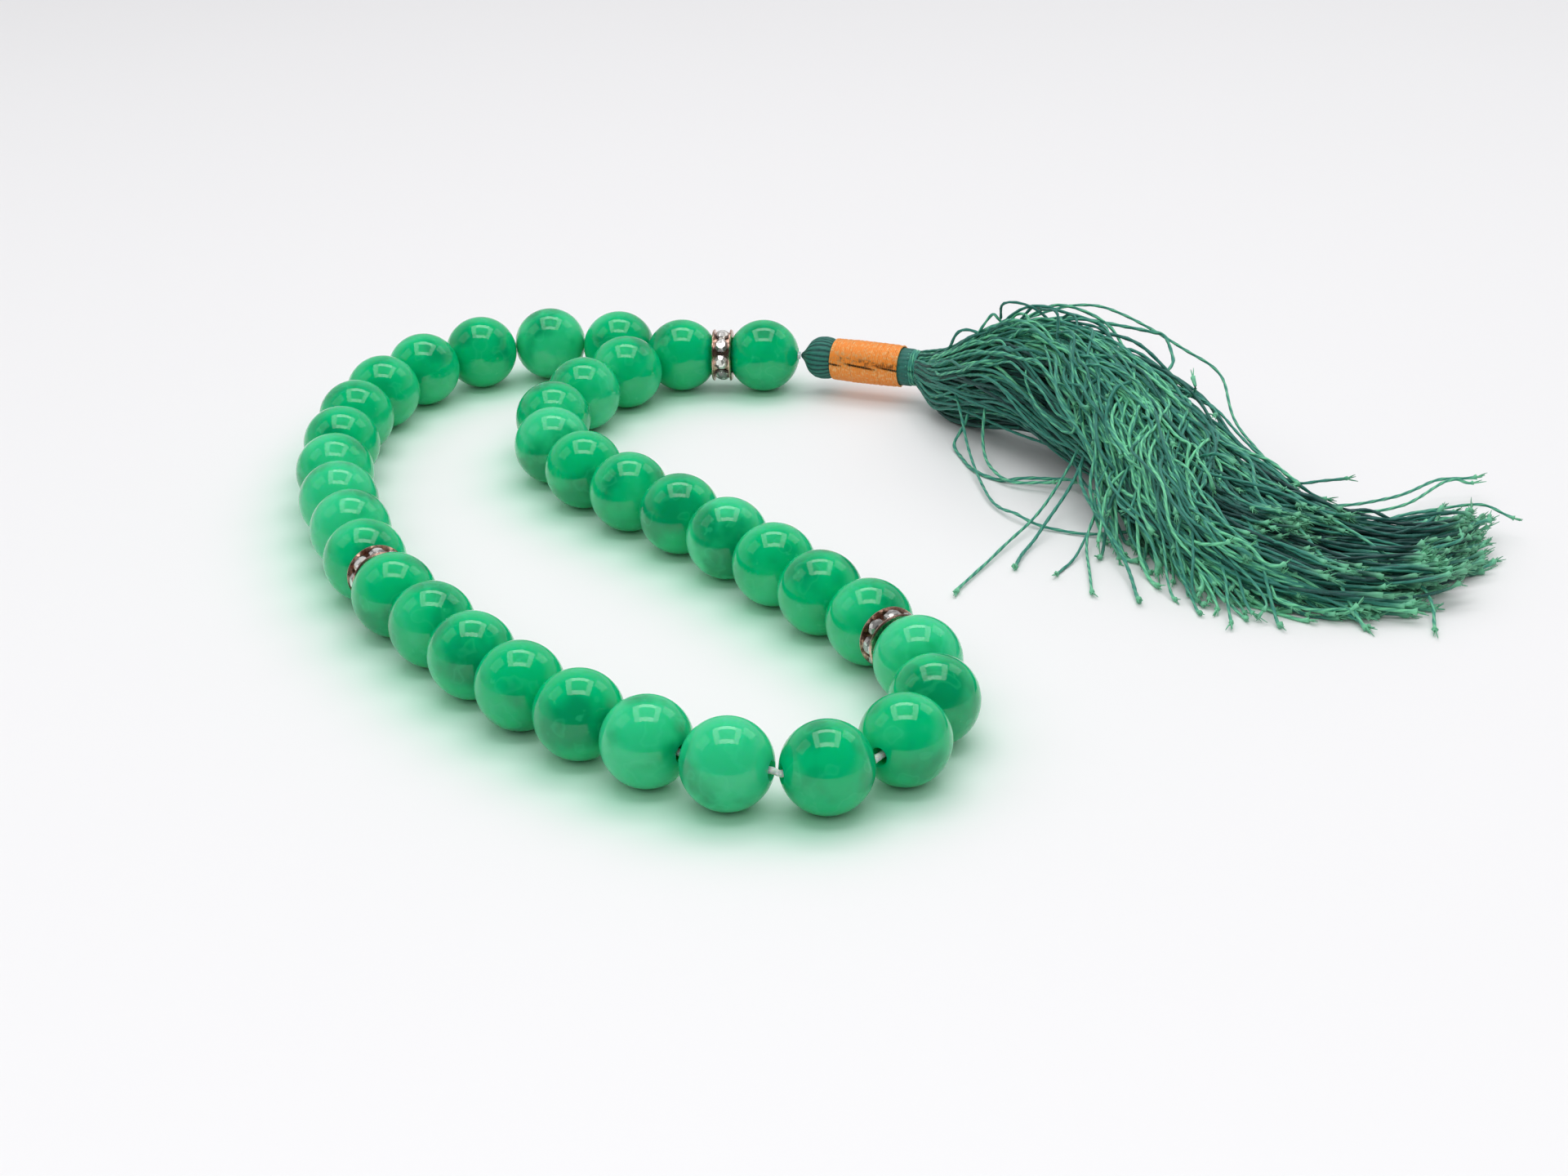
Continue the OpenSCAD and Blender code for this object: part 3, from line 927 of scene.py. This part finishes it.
# single threads that stray from the skirt, each a row of x, y, z in mm; all start in the collar
strays = [
    [(9, 48, 9), (14, 46, 12.5), (20, 44.5, 15), (27, 45, 16.5), (33, 42, 16), (40, 35, 13),
     (44, 32, 10), (45, 25, 7), (48, 14, 5)],
    [(9, 49, 9), (15, 45, 12.5), (24, 41, 16), (33, 36, 16), (37, 35, 15), (38, 31, 13),
     (36, 28, 12), (33, 27, 13)],
    [(9, 47, 9), (11, 43, 8), (11.5, 38, 4), (10, 34, 1), (12, 25, 0.5), (17, 20.5, 0.5), (24, 18, 1.2)],
    [(8, 47, 6), (10, 40, 6), (11, 30, 2), (12.5, 15, 0.5), (16, 8, 0.5), (22, 4, 0.5), (30, 2, 1.2)],
    [(9, 48, 9), (13, 42, 12), (14, 36, 8), (13, 30, 3), (15, 22, 1), (21, 17, 1.5)],
    [(11, 46, 9), (19, 36, 14), (26, 26, 13), (24, 17, 7), (17, 5, 1.5), (7, -14, 0.3)],
    [(12, 44, 9), (20, 34, 15), (27, 24, 12), (24, 13, 5), (18, 2, 1), (14, -7, 0.3)],
    [(12, 44, 8), (21, 35, 15), (28, 23, 13), (27, 10, 5), (23, -2, 1), (19, -9, 0.3)],
    [(12, 44, 8), (22, 36, 15), (27, 26, 14), (28, 12, 7), (24, 0, 1.5), (22.5, -15, 0.3)],
    [(12, 44, 9), (22, 36, 16), (31, 27, 13), (24, 13, 5), (27, -5, 2), (28, -18, 0.3)],
    [(12, 44, 9), (22, 35, 15), (33, 20, 12), (34, 3, 8), (33, -10, 4), (34, -22, 0.3)],
    [(12, 44, 9), (22, 36, 15), (34, 20, 12), (37, 0, 9), (37, -14, 5), (38, -25, 0.3)],
    [(12, 44, 9), (22, 36, 15), (33, 22, 12), (39, 2, 9), (42, -14, 6), (43.5, -25.5, 0.4)],
    [(12, 44, 9), (22, 36, 15), (34, 22, 12), (42, 4, 9), (48, -12, 7), (53, -27, 0.4)],
    [(12, 44, 9), (22, 36, 15), (34, 22, 12), (42, 4, 9), (50, -8, 8), (60, -20, 3), (61, -28, 0.4)],
    [(12, 46, 9), (22, 37, 14), (33, 22, 11), (42, 8, 8), (49, 3, 7), (56, 5, 6)],
    [(12, 46, 8), (22, 37, 13), (34, 22, 10), (43, 7, 6), (52, 2, 4), (62, 6, 3), (69, 12, 3),
     (74, 12.5, 3)],
    [(12, 46, 8), (22, 37, 13), (34, 22, 10), (43, 7, 6), (53, 0, 4), (63, 3, 3), (70, 10, 3.5),
     (73.5, 11, 3)],
    [(12, 46, 8), (22, 37, 12), (34, 22, 9), (43, 6, 5), (54, -2, 3), (64, 1, 3), (72, 1.5, 3.5),
     (76, -1.5, 3)],
    [(12, 46, 8), (22, 37, 12), (34, 22, 9), (43, 5, 5), (54, -3, 3), (63, -1, 3.5), (69, 1, 3)],
]


def makeStrays():
    # one smooth curve through each row of points
    rings = 90
    start = tuple(collarEnd / mm)
    rows = [smoothPaths(np.array([[start] + row]) * mm, 400) for row in strays]
    paths = sampleAgain(np.concatenate(rows), stepsTo(np.ones(len(rows)), rings))
    addThreads("strays", waver(paths, 0.0006, 80), 6, random.uniform(0.5, 0.85, len(rows)))


def makeFray():
    # a few short hairs spread from every cut end: end + length * (share * way + share ^ 0.7 * spread)
    look = skirtLook
    ends, ways, endToneAndShade = (np.concatenate([lot[k] for lot in frayed]) for k in range(3))
    hairs = look["frayHairs"]
    ends, ways, endToneAndShade = np.repeat(ends, hairs, 0), np.repeat(ways, hairs, 0), np.repeat(endToneAndShade, hairs)
    ways /= np.maximum(lengthOf(ways), 1e-9)
    count = len(ends)
    spread = random.normal(0, 0.24, (count, 3))
    share = np.linspace(-0.25, 1, 5)[None, :, None]
    long = look["frayLength"] * mm * random.uniform(0.6, 1.2, (count, 1, 1))
    paths = ends[:, None] + long * (share * ways[:, None] + np.maximum(share, 0) ** 0.7 * spread[:, None])
    paths[..., 2] = np.maximum(paths[..., 2], 1.1 * look["frayRadius"] * mm)
    radii = look["frayRadius"] * mm * np.array([1.0, 1.0, 0.85, 0.65, 0.35])[None] * np.ones((count, 1))
    first, last = np.zeros(count, int), np.full(count, 4)
    points, faces, maps, owner, ringOf = tubesAlong(paths, radii, 3, 0.8, look["plyPitch"] * mm, first, last)
    values = {"strandTone": endToneAndShade[owner], "strandTip": np.full(len(owner), 0.9)}
    skirtPiece(addMesh("frayed_ends", points, faces, green, maps, values), "lower")


makeBundle()
makeFan()
makeCrown()
makeStrays()
makeFray()
print("skirt threads made")
